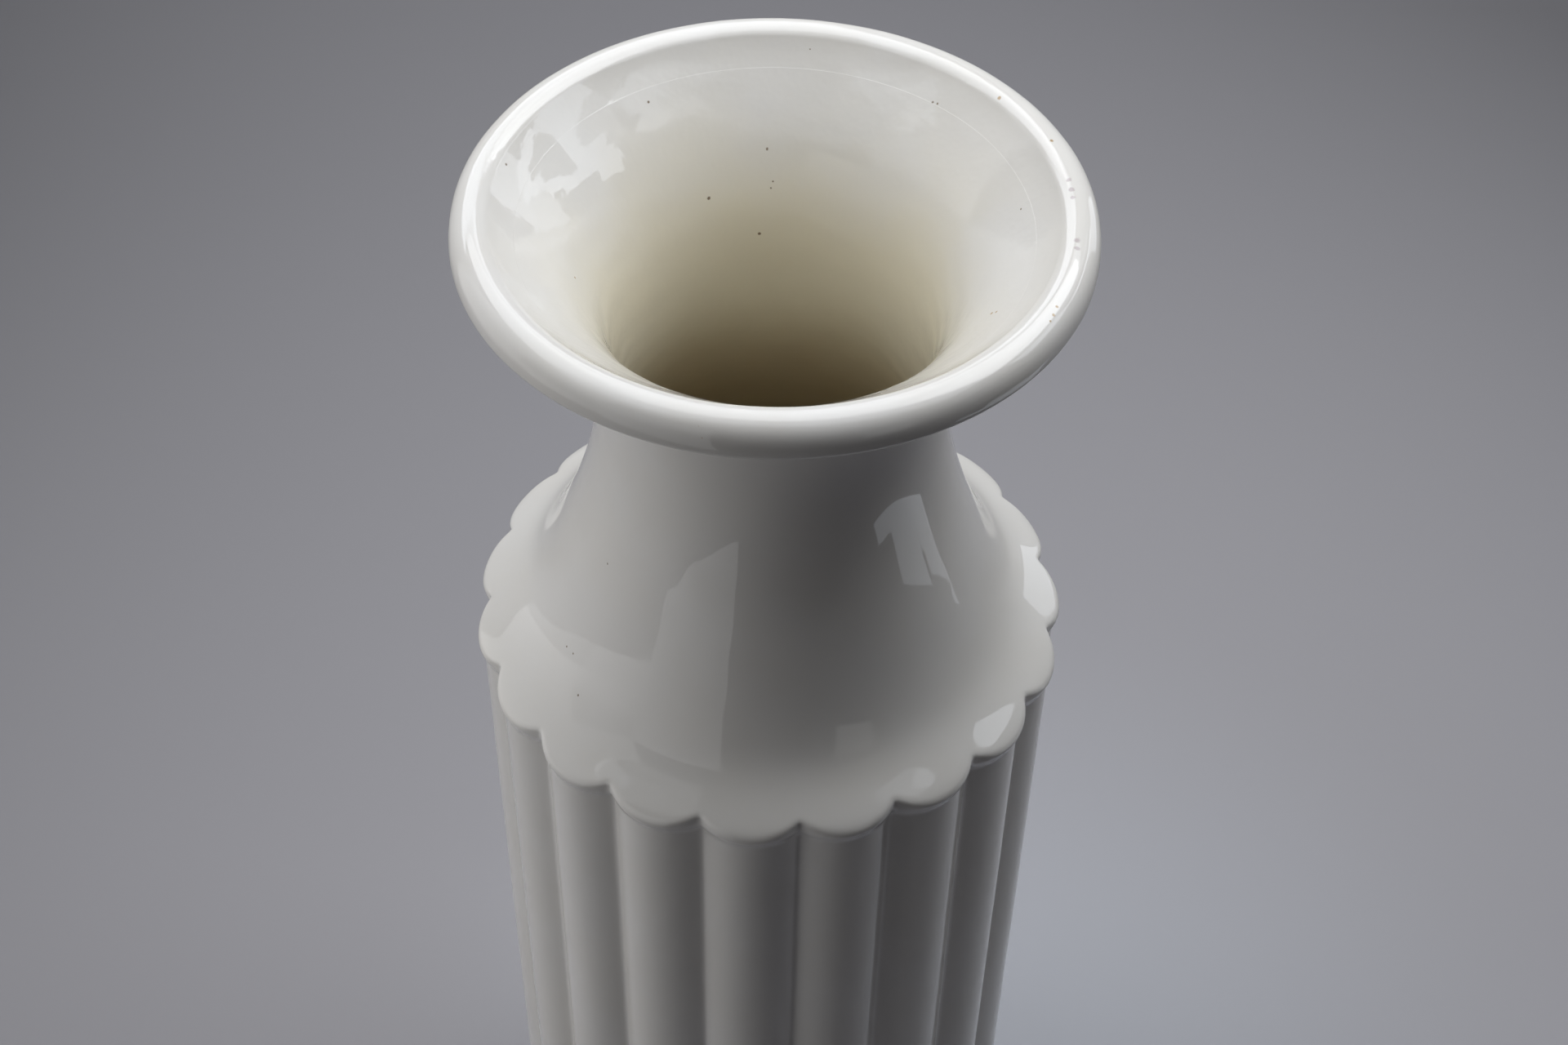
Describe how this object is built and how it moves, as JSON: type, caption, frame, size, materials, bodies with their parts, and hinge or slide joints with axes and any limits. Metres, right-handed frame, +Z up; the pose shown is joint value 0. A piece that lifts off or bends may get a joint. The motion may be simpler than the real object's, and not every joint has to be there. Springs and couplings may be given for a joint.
{
  "type": "floor vase",
  "caption": "Tall white glazed floor vase with a straight ribbed body, scalloped shoulder edge, concave neck and a flared mouth with a rolled lip.",
  "frame": {"origin": "centre of the standing face of the foot ring", "axes": "+Z up along the vase's axis, -Y towards the front, through the crest of a rib"},
  "size_m": [0.2206, 0.2201, 0.5999],
  "materials": {
    "white_glaze": "gloss",
    "bare_clay": "matte"
  },
  "bodies": {
    "root": {"foot_ring": "bare_clay", "base_floor": "bare_clay", "floor_seam_coil": "bare_clay", "fluted_body": "white_glaze", "shoulder_seam_coil": "bare_clay", "scalloped_shoulder": "white_glaze", "neck": "white_glaze", "flared_mouth": "white_glaze", "lip_ring": "white_glaze"}
  },
  "joints": []
}
